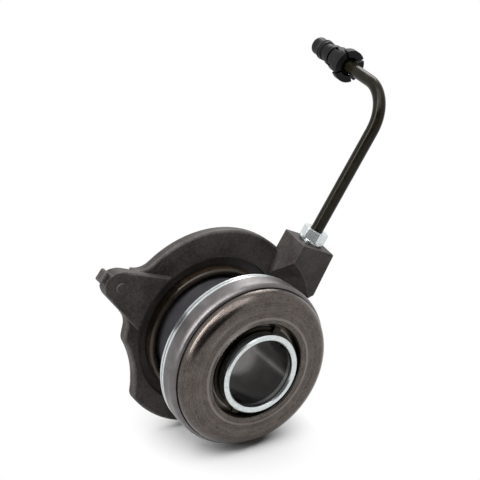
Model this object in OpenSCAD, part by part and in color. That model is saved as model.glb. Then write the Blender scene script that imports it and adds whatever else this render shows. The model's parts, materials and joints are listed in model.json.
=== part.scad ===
// Concentric slave cylinder: a ring-shaped clutch cylinder with its release bearing,
// bolted to a gearbox by its rear face. Millimetres, +Z up. The origin is the middle of
// the mounting face, the cylinder's axis lies along Y and the bearing faces -Y.

/* [Housing] */
// Radius of the flange between the upper lug and the inlet
flange_r = 51; // [49:0.5:54]
// Radius of the flange elsewhere
flange_low_r = 47.5; // [46:0.1:48.5]
// Step down to the flange's rim between the upper lug and the scallop
bump_drop = 2.4; // [1.5:0.1:2.8]
// Thickness of the flange
flange_t = 5; // [4.5:0.25:6]
// Radius of the turned recess in the flange's front face
recess_r = 37.7; // [36:0.1:39]
// Depth of that recess
recess_depth = 2.2; // [1:0.1:2.5]
// Radius of the locating spigot behind the flange
spigot_r = 39; // [38.7:0.1:39.5]
// Length of the spigot's locating land
spigot_land = 4; // [3:0.25:4.5]
// Step down behind that land
spigot_step = 3; // [2:0.25:5]
// Full length of the spigot
spigot_len = 10; // [9:0.5:14]
// Thickness of the wall that closes the pressure chamber
end_wall = 4; // [3.6:0.1:5]
// Bore radius of the pressure chamber
chamber_r = 23.5; // [22.5:0.1:24]
// Wall of the pressure chamber
chamber_wall = 2.8; // [2.4:0.1:3]
// Height of the chamber's open end above the mounting face
chamber_front = 26.3; // [25.5:0.1:27]
// Radius of the boot's pocket in the recess floor
pocket_r = 33.2; // [32.8:0.1:34.5]
// Height of the pocket's floor above the mounting face
pocket_floor = 1; // [0.5:0.1:1.4]
// Half angle of the turned relief that clears the bearing
relief_angle = 36.3; // [32:0.5:40]
// Radius of the scallop in the flange's edge
scallop_r = 45; // [35:1:60]
// Depth of the scallop below the flange's rim
scallop_depth = 6.5; // [5.5:0.1:7]
// Radius of the scallop's two corners
scallop_corner_r = 6; // [3:0.5:8]
// Clock angle of the scallop, from the top towards the inlet side
scallop_angle = -98; // [-102:1:-95]

/* [Mounting lugs] */
// Clock angle of the upper lug, the second one stands opposite
lug_angle = -51.5; // [-54:0.5:-49]
// Radius of the lug's round end
lug_tip_r = 7.3; // [6.5:0.1:8]
// Half width of the lug where it leaves the flange
lug_root_half = 14.2; // [13:0.1:15]
// Radius of the hollow that blends the lug into the flange
lug_blend_r = 9; // [7:0.5:12]
// Height of the lug's front face above the mounting face
lug_front = 9.5; // [9:0.1:10.5]
// Height of the casting's parting line above the mounting face
parting_height = 3.5; // [2.5:0.1:4]
// Radius of the bolt circle
bolt_circle_r = 59.5; // [58.5:0.1:60.5]
// Tap drill radius of the two bolt holes
bolt_hole_r = 2.5; // [2:0.05:2.75]
// Depth of the bolt holes
bolt_hole_depth = 7.5; // [6:0.1:8]
// Radius of the boss round each bolt hole
bolt_boss_r = 5.6; // [4.5:0.1:6.2]
// Radius of the ejector mark on the lug's face
ejector_r = 2.7; // [2:0.1:3.5]
// Height of the ejector mark
ejector_h = 0.5; // [0.2:0.1:1]
// Width of the casting gate's stub on the upper lug
gate_w = 5.2; // [4:0.1:6]
// Length of that stub
gate_len = 4.3; // [2:0.1:6]

/* [Inlet] */
// Clock angle of the inlet
inlet_angle = 27.5; // [25:0.5:29]
// Forward lean of the inlet
inlet_lean = 7.5; // [6:0.5:9]
// Height of the block's top face over the flange's rim
inlet_rise = 5.6; // [4.5:0.1:7]
// Sideways offset of the inlet from the axis
inlet_offset = 27.5; // [27:0.1:28.5]
// Distance of the block's top from the mounting face
inlet_forward = 12.7; // [12.2:0.1:13.5]
// Width of the inlet block across the axis
block_w = 19.7; // [18:0.1:21]
// Depth of the inlet block along the axis
block_d = 16.9; // [15.5:0.1:17.2]
// Length of the inlet block
block_len = 27; // [25.5:0.1:28]
// Widening of the block's outer side towards its base
block_draft = 1.5; // [0.5:0.1:2.5]
// Chamfer on the block's outer lower edge
block_chamfer = 4.5; // [2:0.1:6]
// Depth of the threaded port
port_depth = 9; // [7:0.1:10]
// Radius of the drilling below the port
drill_r = 2.5; // [2:0.1:2.8]
// Depth of that drilling below the block's top
drill_depth = 21.5; // [20.5:0.1:22]
// Radius of the passage to the pressure chamber
passage_r = 0.8; // [0.6:0.05:1]

/* [Guide sleeve] */
// Inner radius of the guide sleeve
sleeve_bore_r = 16.3; // [15.5:0.1:16.8]
// Wall of the guide sleeve
sleeve_wall = 1.5; // [1.2:0.1:1.7]
// Radius of the collar at the sleeve's rear end
sleeve_collar_r = 20.5; // [19.5:0.1:22]
// Thickness of that collar
sleeve_collar_t = 1.4; // [1:0.1:1.5]
// Distance from the mounting face to the nose
nose_front = 51; // [50.5:0.1:54]
// Outer radius of the plated nose ring
nose_r = 19; // [18.6:0.1:19.4]
// Length of the nose ring ahead of the sleeve's end
nose_lip = 4; // [3:0.1:4.2]
// Full length of the nose ring
nose_len = 4.6; // [4.4:0.1:5]
// Edge break on the nose ring
nose_break = 0.5; // [0.2:0.05:0.8]
// Section of the static seal at the sleeve's rear end
sleeve_seal_d = 1.4; // [1.1:0.05:1.5]

/* [Piston] */
// Working travel of the piston
travel = 14; // [10:0.5:14.5]
// Running clearance of the piston, on the radius
run_clear = 0.06; // [0.03:0.01:0.1]
// Length of the piston seal
seal_len = 5; // [4:0.1:6]
// Thickness of the ring that the spring pushes on
spring_seat_t = 1.6; // [1.2:0.1:2]
// Length of the piston that stays in the chamber
piston_engage = 3.3; // [2.5:0.1:4]
// Radius of the piston's front boss
boss_r = 20.5; // [20:0.1:21]
// Gap between the piston and its stop
stop_gap = 0.2; // [0.1:0.05:0.4]
// Thickness of the stop clip
stop_clip_t = 1.1; // [0.8:0.1:1.2]
// Depth of the groove in the sleeve for the stop clip
stop_groove = 0.6; // [0.4:0.05:0.7]
// Reach of the stop clip's lugs
stop_lug_r = 21.6; // [20.5:0.1:22]
// Wire diameter of the preload spring
spring_wire = 1.8; // [1.2:0.1:2]
// Turns of the preload spring
spring_turns = 4; // [3:0.5:4.5]

/* [Bearing] */
// Pitch radius of the balls
pitch_r = 32.5; // [32.2:0.1:32.7]
// Radius of a ball
ball_r = 3.97; // [3.6:0.01:4]
// Number of balls
ball_count = 18; // [12:1:20]
// Distance from the ball centres to the race's seat on the piston
ball_setback = 3.4; // [3.1:0.1:3.6]
// Gap between a ball and its tracks
track_gap = 0.06; // [0.03:0.01:0.1]
// Thickness of the race's inner flange
race_flange_t = 1.8; // [1.4:0.1:2]
// Distance from the pitch circle in to the race's tube
race_tube_in = 3.9; // [3.7:0.05:4]
// Wall of the race's tube
race_wall = 1.8; // [1.6:0.05:1.9]
// Distance from the pitch circle in to the edge of the race's shoulder
race_shoulder_in = 1.2; // [1:0.1:1.7]
// Thickness of the race behind the balls
race_foot = 2; // [1.8:0.1:2.4]
// Thickness of the ball cage
cage_t = 1.4; // [1:0.1:1.6]
// Rim of the cage beside its pockets
cage_rim = 1.1; // [0.8:0.1:1.3]
// Gap between a ball and its pocket
pocket_gap = 0.15; // [0.1:0.01:0.25]
// Radius of the hole in the thrust ring
thrust_hole_r = 22.8; // [22.5:0.1:23.2]
// Wall of the thrust ring outside the balls' track
thrust_wall = 1.37; // [1.1:0.01:1.8]
// Distance from the mounting face to the thrust ring's face
thrust_front = 48.6; // [48.2:0.1:50]
// Thickness of the thrust ring's face
thrust_t = 2.6; // [2:0.1:2.9]
// Width of the sloping edge round the hole
thrust_edge_w = 2.7; // [2:0.1:3.4]
// Depth of the dish in that face
dish_depth = 0.7; // [0.3:0.1:1]
// Radius of the thrust ring's outer shoulder
shoulder_r = 6; // [4:0.1:6.5]
// Gap between the thrust ring and the shell
shell_gap = 0.3; // [0.2:0.05:0.5]
// Wall of the bearing shell
shell_wall = 1.7; // [1.5:0.1:1.9]
// Distance from the mounting face to the shell's front lip
shell_front = 42.1; // [41:0.1:42.5]
// Thickness of the shell's rear plate
shell_plate_t = 1.5; // [1.2:0.1:1.8]
// Length of the shell's rounded lip
shell_lip = 3.2; // [2:0.1:4]
// Width of the plated backing ring
backing_w = 4.2; // [3.6:0.1:4.6]
// Wall of the backing ring
backing_wall = 1.3; // [1.1:0.1:1.5]
// Step from the shell down to the backing ring
backing_step = 0.3; // [0.2:0.1:0.6]

/* [Dust boot] */
// Wall of the boot
boot_wall = 1.2; // [0.9:0.05:1.3]
// Radius of the boot's neck, outside
boot_neck_r = 28.4; // [28.2:0.1:28.7]
// Height at which the neck starts to widen
boot_neck_top = 8; // [7:0.5:10]
// Radius of the boot's front bead, outside
boot_bead_r = 35.8; // [35:0.1:36.5]
// Width of the front bead
boot_bead_w = 2.6; // [2:0.1:3]
// Height of the fold's crest above the mounting face
boot_crest = 8.3; // [7.5:0.1:9]
// Gap between the fold and the neck
boot_gap = 1.6; // [1.2:0.1:2]

/* [Pipe and connector] */
// Outer radius of the pipe
pipe_r = 3; // [2.6:0.1:3.2]
// Wall of the pipe
pipe_wall = 1; // [0.7:0.1:1.2]
// Straight run from the block to the bend
pipe_run = 60; // [50:1:70]
// Radius of the bend
bend_r = 18.5; // [15:0.5:24]
// Straight run from the bend into the plug
pipe_tail = 36; // [34:0.5:37]
// Width of the tube nut across its flats
nut_flats = 11; // [10:0.5:12]
// Height of the tube nut over the block
nut_height = 6.9; // [5.5:0.1:8]
// Radius of the nut's collar
nut_collar_r = 5.9; // [5.6:0.1:6.4]
// Thickness of the nut's collar
nut_collar_t = 1.2; // [0.8:0.1:1.5]
// Radius of the nut's thread
nut_thread_r = 5; // [4.5:0.1:5.2]
// Radius of the locking collar's disc
disc_r = 8.1; // [7.5:0.1:9]
// Thickness of that disc
disc_t = 3.7; // [3:0.1:4.2]
// Start of the locking collar after the bend
disc_start = 17.5; // [16:0.5:19]
// Radius of the locking collar's sleeve
collar_r = 6.2; // [5.8:0.1:6.6]
// End of the locking collar's sleeve after the bend
collar_end = 29; // [27.5:0.5:30]
// Width of the locking collar's slots
slot_w = 1.1; // [0.8:0.1:1.5]
// Number of slots in the locking collar
slot_count = 4; // [3:1:6]
// Length of the slots in the collar's front end
end_slot = 3; // [2:0.1:4]
// Radius of the plug's tail
plug_tail_r = 4.1; // [4:0.05:4.4]
// Gap between the locking collar and the plug's shoulder
plug_gap = 1.3; // [0.9:0.1:1.8]
// Radius of the plug's shoulder
plug_shoulder_r = 5.4; // [5:0.1:5.8]
// Length of that shoulder
plug_shoulder_len = 2.7; // [2:0.1:3.5]
// Radius of the plug's neck
plug_neck_r = 4.4; // [4.1:0.1:4.6]
// Radius of the rib behind the plug's seal
plug_rib_r = 4.9; // [4.7:0.1:5.1]
// Thickness of that rib
plug_rib_t = 1.6; // [1.2:0.1:2]
// Radius of the plug's nose
plug_nose_r = 4.5; // [4.2:0.1:4.7]
// Length of the nose ahead of the seal
plug_nose_len = 5.5; // [5:0.1:6.5]
// End of the plug after the bend
plug_end = 47; // [46:0.5:50]
// Section of the plug's seal
plug_seal_d = 2; // [1.6:0.1:2.2]
// Height at which the seal stands out of its groove
plug_seal_stand = 0.7; // [0.4:0.1:0.9]
// Radius of the plug's fluid passage
plug_bore_r = 1.6; // [1.2:0.1:2]

/* [Hidden] */
$fn = 96;
eps = 0.01;
reach = 200;
fit = 0.02;

// Chamber and sleeve
rear = -spigot_len;
chamber_floor = rear + end_wall;
chamber_out_r = chamber_r + chamber_wall;
sleeve_r = sleeve_bore_r + sleeve_wall;
sleeve_front = nose_front - nose_lip;
nose_rear = nose_front - nose_len;
recess_floor = flange_t - recess_depth;
inlet_height = flange_r + inlet_rise;
bump_r = flange_low_r - bump_drop;
scallop_floor_r = flange_low_r - scallop_depth;
sleeve_seal_h = rear + sleeve_collar_t + (end_wall - sleeve_collar_t) / 2;

// Piston stack, from the stop backwards
stop_clip_rear = nose_rear - stop_clip_t - fit;
piston_front = stop_clip_rear - stop_gap;
piston_rear = chamber_front - piston_engage;
seal_rear = piston_rear - seal_len;
spring_top = seal_rear - spring_seat_t;
piston_in_r = sleeve_r + run_clear;
piston_out_r = chamber_r - run_clear;
seat_clear = 1.1;
race_seat = chamber_front + travel + seat_clear;
race_clip_t = 0.7;
race_clip_rear = race_seat + race_flange_t + fit;
race_clip_groove = 0.6;
race_clip_stand = 0.9;
race_clip_in_r = boss_r - race_clip_groove;
race_clip_out_r = boss_r + race_clip_stand;

// Bearing
ball_h = race_seat - ball_setback;
track_r = ball_r + track_gap;
race_tube_r = pitch_r - race_tube_in;
race_bore_r = race_tube_r - race_wall;
race_shoulder_r = pitch_r - race_shoulder_in;
thrust_r = pitch_r + track_r + thrust_wall;
shell_in_r = thrust_r + shell_gap;
shell_r = shell_in_r + shell_wall;
race_rear = ball_h - ball_r - race_foot;
shell_rear = race_rear - shell_plate_t;
backing_rear = shell_rear - backing_wall;
backing_front = backing_rear + backing_w;
backing_r = shell_r - backing_step;
backing_seat_r = backing_r - backing_wall;
shell_low_r = backing_seat_r - shell_wall;
shell_step = backing_front + 0.8;
cage_half = ball_r + pocket_gap + cage_rim;
cage_in_r = pitch_r - cage_t / 2;
cage_out_r = pitch_r + cage_t / 2;
ring_clear = 0.5;
skirt_rear = shell_step + ring_clear;

// Boot
boot_clear = 0.1;
boot_lift = 1;
boot_leg_r = pocket_r - boot_clear;
boot_fold_r = boot_neck_r + boot_gap;
boot_crest_out = (boot_leg_r - boot_fold_r) / 2;
boot_crest_r = boot_fold_r + boot_crest_out;
boot_crest_h = boot_crest - boot_crest_out;
boot_valley_h = pocket_floor + boot_wall + boot_lift;

// Pipe and plug
plug_inset = 0.6;
plug_start = disc_start + plug_inset;
plug_shoulder = collar_end + plug_gap;
plug_neck = plug_shoulder + plug_shoulder_len;
seal_groove = plug_end - plug_nose_len - plug_seal_d;
seal_groove_r = plug_nose_r + plug_seal_stand - plug_seal_d;
collar_play = 0.15;
collar_bore_r = plug_tail_r + collar_play;
nut_play = 0.1;
nut_bore_r = pipe_r + nut_play;
port_r = nut_thread_r;

// Points along an arc of a profile
function arc(x, y, r, a0, a1, n = 10) =
    [for (i = [0 : n]) let (a = a0 + (a1 - a0) * i / n) [x + r * cos(a), y + r * sin(a)]];
function at_clock(r, a) = [r * sin(a), r * cos(a)];

// Drawn with Z forward along the cylinder's axis, X right and Y up, then laid along Y
module along_axis() { rotate([90, 0, 0]) children(); }
module turned() { rotate_extrude() children(); }
module clocked(a) { rotate([0, 0, -a]) children(); }
module section(r0, r1, h0, h1) { translate([r0, h0]) square([r1 - r0, h1 - h0]); }
module tube(r0, r1, h0, h1) { turned() section(r0, r1, h0, h1); }

// Z runs out of the inlet block, Y backwards from its top face
module at_inlet() {
    clocked(inlet_angle) translate([inlet_offset, inlet_height, inlet_forward])
        rotate([inlet_lean - 90, 0, 0]) children();
}
// Z runs along the connector, from the end of the bend
module at_connector() {
    at_inlet() translate([0, bend_r, pipe_run + bend_r]) rotate([-90, 0, 0]) children();
}

// Points along a circle round c, the short way from p to q
function arc_between(c, p, q, n = 8) = let (
    a0 = atan2(p[1] - c[1], p[0] - c[0]),
    turn = atan2(q[1] - c[1], q[0] - c[0]) - a0,
    short = turn > 180 ? turn - 360 : turn < -180 ? turn + 360 : turn)
    arc(c[0], c[1], norm(p - c), a0, a0 + short, n);
function reversed(list) = [for (i = [len(list) - 1 : -1 : 0]) list[i]];
function mirrored(list) = [for (p = list) [-p[0], p[1]]];
function clock_of(p) = atan2(p[0], p[1]);
function set_clock(list, a) =
    [for (p = list) [p[0] * cos(a) + p[1] * sin(a), p[1] * cos(a) - p[0] * sin(a)]];
function rim_run(r, a0, a1) = let (n = ceil((a1 - a0) / 4))
    [for (i = [0 : n]) at_clock(r, a0 + (a1 - a0) * i / n)];

// A lug points along Y. Its sides run from the root and touch the round end
lug_run = [lug_root_half, recess_r - bolt_circle_r];
lug_side = atan2(lug_run[1], lug_run[0]) + acos(lug_tip_r / norm(lug_run));
lug_normal = [cos(lug_side), sin(lug_side)];
lug_touch = [0, bolt_circle_r] + lug_tip_r * lug_normal;

// Hollow from the lug's right side to a rim of radius r, starting a little inside the lug
function lug_blend(r) = let (
    out = lug_normal * lug_touch + lug_blend_r,
    along = [-lug_normal[1], lug_normal[0]],
    middle = out * lug_normal + sqrt(pow(r + lug_blend_r, 2) - out * out) * along,
    hollow = arc_between(middle, middle - lug_blend_r * lug_normal, middle * r / (r + lug_blend_r)))
    concat([2 * hollow[0] - hollow[1]], hollow);
function blend_clock(r) = let (hollow = lug_blend(r)) clock_of(hollow[len(hollow) - 1]);

// Right half of a scallop round Y, up to a rim of radius r. The corner's circle touches the rim
// inside and the scallop outside
scallop_mid = [0, scallop_floor_r + scallop_r];
scallop_out = scallop_r + scallop_corner_r;
function scallop_half(r) = let (
    inner = r - scallop_corner_r,
    y = (pow(inner, 2) - pow(scallop_out, 2) + pow(scallop_mid[1], 2)) / (2 * scallop_mid[1]),
    corner = [sqrt(pow(inner, 2) - pow(y, 2)), y],
    cut = corner + (scallop_mid - corner) * scallop_corner_r / scallop_out)
    concat(arc_between(scallop_mid, [0, scallop_floor_r], cut),
           arc_between(corner, cut, corner * r / inner));
function scallop_end(r) = let (half = scallop_half(r)) clock_of(half[len(half) - 1]);

// The flange's outline, clockwise from the upper lug
module flange_outline() {
    upper_end = 82;
    low_blend = blend_clock(flange_low_r);
    second = lug_angle + 180;
    polygon(concat(
        rim_run(flange_r, lug_angle + blend_clock(flange_r), upper_end),
        rim_run(flange_low_r, upper_end, second - low_blend),
        set_clock(reversed(mirrored(lug_blend(flange_low_r))), second),
        set_clock(lug_blend(flange_low_r), second),
        rim_run(flange_low_r, second + low_blend, scallop_angle + 360 - scallop_end(flange_low_r)),
        set_clock(reversed(mirrored(scallop_half(flange_low_r))), scallop_angle),
        set_clock(scallop_half(bump_r), scallop_angle),
        rim_run(bump_r, scallop_angle + scallop_end(bump_r), lug_angle - blend_clock(bump_r)),
        set_clock(reversed(mirrored(lug_blend(bump_r))), lug_angle),
        set_clock(lug_blend(flange_r), lug_angle)));
}

module lug_outline() {
    tip = arc(0, bolt_circle_r, lug_tip_r, lug_side, 180 - lug_side, 16);
    polygon(concat([[lug_root_half, recess_r]], tip, [[-lug_root_half, recess_r]]));
}

module lug() {
    translate([0, 0, parting_height]) linear_extrude(lug_front - parting_height) lug_outline();
    translate([0, bolt_circle_r, 0]) cylinder(r = bolt_boss_r, h = lug_front - 1);
    translate([0, bolt_circle_r, lug_front - eps]) cylinder(r = ejector_r, h = ejector_h + eps);
}

module gate_stub() {
    margin = 0.6;
    shift = 0.4;
    root = 1;
    translate([shift - gate_w / 2, bolt_circle_r + lug_tip_r - root, parting_height + margin])
        cube([gate_w, gate_len + root, lug_front - parting_height - 2 * margin]);
}

module inlet_block() {
    half = block_w / 2;
    base = half + block_draft;
    at_inlet() rotate([90, 0, 0]) linear_extrude(block_d, center = true)
        polygon([[-half, 0], [half, 0], [base, block_chamfer - block_len],
                 [base - block_chamfer, -block_len], [-half, -block_len]]);
}

// Drillings from the port: down the block, back to the flange, then inwards to the chamber
module inlet_drillings() {
    at_inlet() {
        translate([0, 0, -port_depth]) cylinder(r = port_r, h = port_depth + 1);
        translate([0, 0, -port_depth - port_r]) cylinder(r1 = eps, r2 = port_r, h = port_r + eps);
        translate([0, 0, -drill_depth]) cylinder(r = drill_r, h = drill_depth);
    }
    low = inlet_height - drill_depth * cos(inlet_lean) + drill_r;
    radius = norm([inlet_offset, low]);
    height = inlet_forward - drill_depth * sin(inlet_lean);
    side = atan2(inlet_offset, low);
    turn_r = passage_r + 0.3;
    inner_r = chamber_r - 0.5;
    inner_h = chamber_floor + passage_r + 0.3;
    // The slanting passage runs midway between the recess's corner and the spigot's root
    middle = [(recess_r + spigot_r) / 2, recess_floor / 2];
    slant = (middle[1] - inner_h) / (middle[0] - inner_r);
    run = (radius - inner_r) * [1, slant];
    turn_h = inner_h + run[1];
    clocked(inlet_angle + side) {
        translate([0, radius, turn_h]) cylinder(r = turn_r, h = height - turn_h);
        translate([0, inner_r, inner_h]) rotate([-atan2(run[0], run[1]), 0, 0])
            cylinder(r = passage_r, h = norm(run));
    }
}

// Front of the casting that is turned away so that the bearing can retract
module relief() {
    rise = lug_front + inlet_forward + block_d;
    start_r = recess_r + 0.8;
    turned() {
        polygon([[0, flange_t], [start_r, flange_t], [start_r + rise * tan(relief_angle), flange_t + rise],
                 [0, flange_t + rise]]);
        section(0, recess_r, recess_floor, flange_t + eps);
        section(0, pocket_r, pocket_floor, recess_floor + eps);
    }
}

module housing() {
    color("#55504f") along_axis() difference() {
        union() {
            difference() {
                union() {
                    linear_extrude(flange_t) flange_outline();
                    for (side = [0, 180]) clocked(lug_angle + side) lug();
                    clocked(lug_angle) gate_stub();
                    inlet_block();
                }
                relief();
            }
            turned() {
                edge = 0.6;
                tail_r = spigot_r - spigot_step;
                polygon([[0, rear], [tail_r - edge, rear], [tail_r, rear + edge], [tail_r, -spigot_land],
                         [spigot_r - edge, -spigot_land], [spigot_r, edge - spigot_land],
                         [spigot_r, eps], [0, eps]]);
                section(0, chamber_out_r, 0, chamber_front);
                section(0, pocket_r + 1, 0, pocket_floor);
            }
        }
        turned() {
            section(0, chamber_r, chamber_floor, chamber_front + 1);
            section(0, sleeve_r, rear - 1, chamber_floor + eps);
            section(0, sleeve_collar_r, rear - 1, rear + sleeve_collar_t);
            section(0, sleeve_r + sleeve_seal_d,
                    sleeve_seal_h - sleeve_seal_d / 2, sleeve_seal_h + sleeve_seal_d / 2);
        }
        for (side = [0, 180]) clocked(lug_angle + side) translate([0, bolt_circle_r, -1])
            cylinder(r = bolt_hole_r, h = bolt_hole_depth + 1);
        inlet_drillings();
    }
}

module guide_sleeve() {
    color("#3d3c3f") along_axis() turned() difference() {
        union() {
            section(sleeve_bore_r, sleeve_r, rear, sleeve_front);
            section(sleeve_bore_r, sleeve_collar_r, rear, rear + sleeve_collar_t);
        }
        section(sleeve_r - stop_groove, sleeve_r + 1, stop_clip_rear - fit, stop_clip_rear + stop_clip_t);
    }
}

module nose_ring() {
    color("#dfe4e4") along_axis() turned()
        polygon([[sleeve_r, nose_rear], [nose_r, nose_rear], [nose_r, nose_front - nose_break],
                 [nose_r - nose_break, nose_front], [sleeve_bore_r + nose_break, nose_front],
                 [sleeve_bore_r, nose_front - nose_break], [sleeve_bore_r, sleeve_front],
                 [sleeve_r, sleeve_front]]);
}

module sleeve_seal() {
    color("#1c1c1d") along_axis() turned()
        translate([sleeve_r + sleeve_seal_d / 2, sleeve_seal_h]) circle(r = sleeve_seal_d / 2 - fit);
}

// Split ring in the sleeve's groove, with two lugs that stop the piston
module stop_clip() {
    opening = 6;
    lug_w = 3.4;
    first_lug = -148;
    color("#4a4438") along_axis() translate([0, 0, stop_clip_rear]) {
        difference() {
            union() {
                cylinder(r = nose_r, h = stop_clip_t - fit);
                for (side = [0, 180]) clocked(first_lug + side)
                    translate([-lug_w / 2, 0, 0]) cube([lug_w, stop_lug_r, stop_clip_t - fit]);
            }
            translate([0, 0, -1]) cylinder(r = sleeve_r - stop_groove + fit, h = stop_clip_t + 2);
            clocked(90) translate([-opening / 2, 0, -1]) cube([opening, reach, stop_clip_t + 2]);
        }
    }
}

module piston() {
    color("#3a352c") along_axis() turned() difference() {
        union() {
            section(piston_in_r, piston_out_r, piston_rear, race_seat);
            section(piston_in_r, boss_r, race_seat - eps, piston_front);
        }
        section(race_clip_in_r, boss_r + 1, race_clip_rear, race_clip_rear + race_clip_t + fit);
    }
}

// Cup seal with two lips that the fluid spreads
module piston_seal() {
    lip = 1.6;
    cup = 2.6;
    color("#202022") along_axis() turned() difference() {
        section(piston_in_r, piston_out_r, seal_rear, piston_rear);
        section(piston_in_r + lip, piston_out_r - lip, seal_rear - 1, seal_rear + cup);
    }
}

module spring_seat() {
    play = 0.2;
    color("#d9d2bd") along_axis() tube(piston_in_r + play, piston_out_r - play, spring_top, seal_rear);
}

// Round wire wound along the chamber
module preload_spring() {
    mean_r = (sleeve_r + chamber_r) / 2;
    sides = 8;
    steps = 28;
    low = chamber_floor + spring_wire / 2;
    high = spring_top - spring_wire / 2;
    count = spring_turns * steps;
    function ring(i) = let (a = 360 * i / steps, h = low + (high - low) * i / count)
        [for (k = [0 : sides - 1]) let (b = 360 * k / sides, r = mean_r + spring_wire / 2 * cos(b))
            [r * cos(a), r * sin(a), h + spring_wire / 2 * sin(b)]];
    points = [for (i = [0 : count]) each ring(i)];
    walls = [for (i = [0 : count - 1], k = [0 : sides - 1])
        [i * sides + k, i * sides + (k + 1) % sides, (i + 1) * sides + (k + 1) % sides, (i + 1) * sides + k]];
    ends = [[for (k = [0 : sides - 1]) sides - 1 - k], [for (k = [0 : sides - 1]) count * sides + k]];
    color("#5b5a58") along_axis() polyhedron(points, concat(walls, ends));
}

// Split ring that holds the race on the piston's boss
module race_clip() {
    opening = 5;
    color("#6b6250") along_axis() difference() {
        tube(race_clip_in_r + fit, race_clip_out_r, race_clip_rear, race_clip_rear + race_clip_t);
        clocked(-150) translate([-opening / 2, 0, 0]) cube([opening, reach, reach]);
    }
}

module inner_race() {
    eye_r = boss_r + 0.1;
    color("#5f5a52") along_axis() turned() difference() {
        polygon([[eye_r, race_seat], [race_bore_r, race_seat], [race_bore_r, race_rear],
                 [race_shoulder_r, race_rear], [race_shoulder_r, ball_h], [race_tube_r, ball_h],
                 [race_tube_r, race_seat + race_flange_t], [eye_r, race_seat + race_flange_t]]);
        translate([pitch_r, ball_h]) circle(r = track_r);
    }
}

module bearing_balls() {
    color("#b9bbbd") along_axis() for (i = [0 : ball_count - 1])
        translate(concat(at_clock(pitch_r, i * 360 / ball_count), ball_h)) sphere(r = ball_r);
}

module ball_cage() {
    color("#8d7a4a") along_axis() difference() {
        tube(cage_in_r, cage_out_r, ball_h - cage_half, ball_h + cage_half);
        for (i = [0 : ball_count - 1]) clocked(i * 360 / ball_count)
            translate([0, cage_in_r - 1, ball_h]) rotate([-90, 0, 0])
                cylinder(r = ball_r + pocket_gap, h = cage_t + 2);
    }
}

// Pressed ring that turns against the clutch fingers, with the balls' track on its inside
module thrust_ring() {
    rim = 1.3;
    slope = 0.45;
    back = thrust_front - thrust_t;
    ridge_r = thrust_hole_r + thrust_edge_w;
    corner_r = thrust_r - shoulder_r;
    dish_r = (ridge_r + corner_r) / 2;
    dish_half = (corner_r - ridge_r) / 2;
    dish = function(x) dish_depth * cos(90 * x) * (x < 0 ? 1 : cos(90 * x));
    track_lip_r = cage_out_r + ring_clear;
    color("#6a645d") along_axis() turned() difference() {
        polygon(concat(
            arc(thrust_hole_r + rim, thrust_front - slope - rim, rim, 180, 90, 6),
            [for (i = [-8 : 8]) [dish_r + dish_half * i / 8, thrust_front - dish(i / 8)]],
            arc(corner_r, thrust_front - shoulder_r, shoulder_r, 90, 0, 14),
            [[thrust_r, skirt_rear], [pitch_r + track_r, skirt_rear], [pitch_r + track_r, ball_h],
             [track_lip_r, ball_h], [track_lip_r, back], [thrust_hole_r, back]]));
        translate([pitch_r, ball_h]) circle(r = track_r);
    }
}

// Deep-drawn cup round the thrust ring, with a rounded lip
module bearing_shell() {
    color("#8b8789") along_axis() turned()
        polygon(concat(
            [[race_bore_r, shell_rear], [backing_seat_r - fit, shell_rear],
             [backing_seat_r - fit, backing_front], [shell_r, backing_front]],
            [for (a = [0 : 10 : 90])
                [shell_in_r + shell_wall * cos(a), shell_front - shell_lip * (1 - sin(a))]],
            [[shell_in_r, shell_step], [shell_low_r, shell_step], [shell_low_r, race_rear],
             [race_bore_r, race_rear]]));
}

// Plated ring round the shell's rear end that grips the boot's bead
module backing_ring() {
    rear_round = 1;
    front_round = 0.5;
    groove = 0.35;
    middle = (backing_rear + backing_front) / 2;
    front = backing_front - fit;
    color("#e6e8ea") along_axis() turned() difference() {
        polygon(concat(
            [[boot_bead_r + fit, backing_rear]],
            arc(backing_r - rear_round, backing_rear + rear_round, rear_round, -90, 0, 6),
            arc(backing_r - front_round, front - front_round, front_round, 0, 90, 4),
            [[backing_seat_r, front], [backing_seat_r, shell_rear], [boot_bead_r + fit, shell_rear]]));
        translate([backing_r + groove / 2, middle]) circle(r = groove);
    }
}

// Rubber boot: a rear bead in the pocket, one fold, a neck and a cone that grips the bearing
module dust_boot() {
    neck_in = boot_neck_r - boot_wall;
    bead_in = boot_bead_r - boot_bead_w;
    bead_rear = backing_rear - boot_wall;
    color("#3b3c42") along_axis() turned() {
        section(boot_leg_r - boot_wall, boot_leg_r, pocket_floor, boot_crest_h + eps);
        difference() {
            translate([boot_crest_r, boot_crest_h]) circle(r = boot_crest_out);
            translate([boot_crest_r, boot_crest_h]) circle(r = boot_crest_out - boot_wall);
            section(0, boot_leg_r + 1, boot_crest_h - boot_crest_out - 1, boot_crest_h);
        }
        section(boot_fold_r, boot_fold_r + boot_wall, boot_valley_h, boot_crest_h + eps);
        section(neck_in, boot_fold_r + boot_wall, boot_valley_h - boot_wall, boot_valley_h + eps);
        section(neck_in, boot_neck_r, boot_valley_h, boot_neck_top);
        polygon([[neck_in, boot_neck_top - eps], [boot_neck_r, boot_neck_top - eps],
                 [bead_in + boot_wall, bead_rear + eps], [bead_in, bead_rear + eps]]);
        section(bead_in, boot_bead_r, bead_rear, shell_rear);
    }
}

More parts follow.
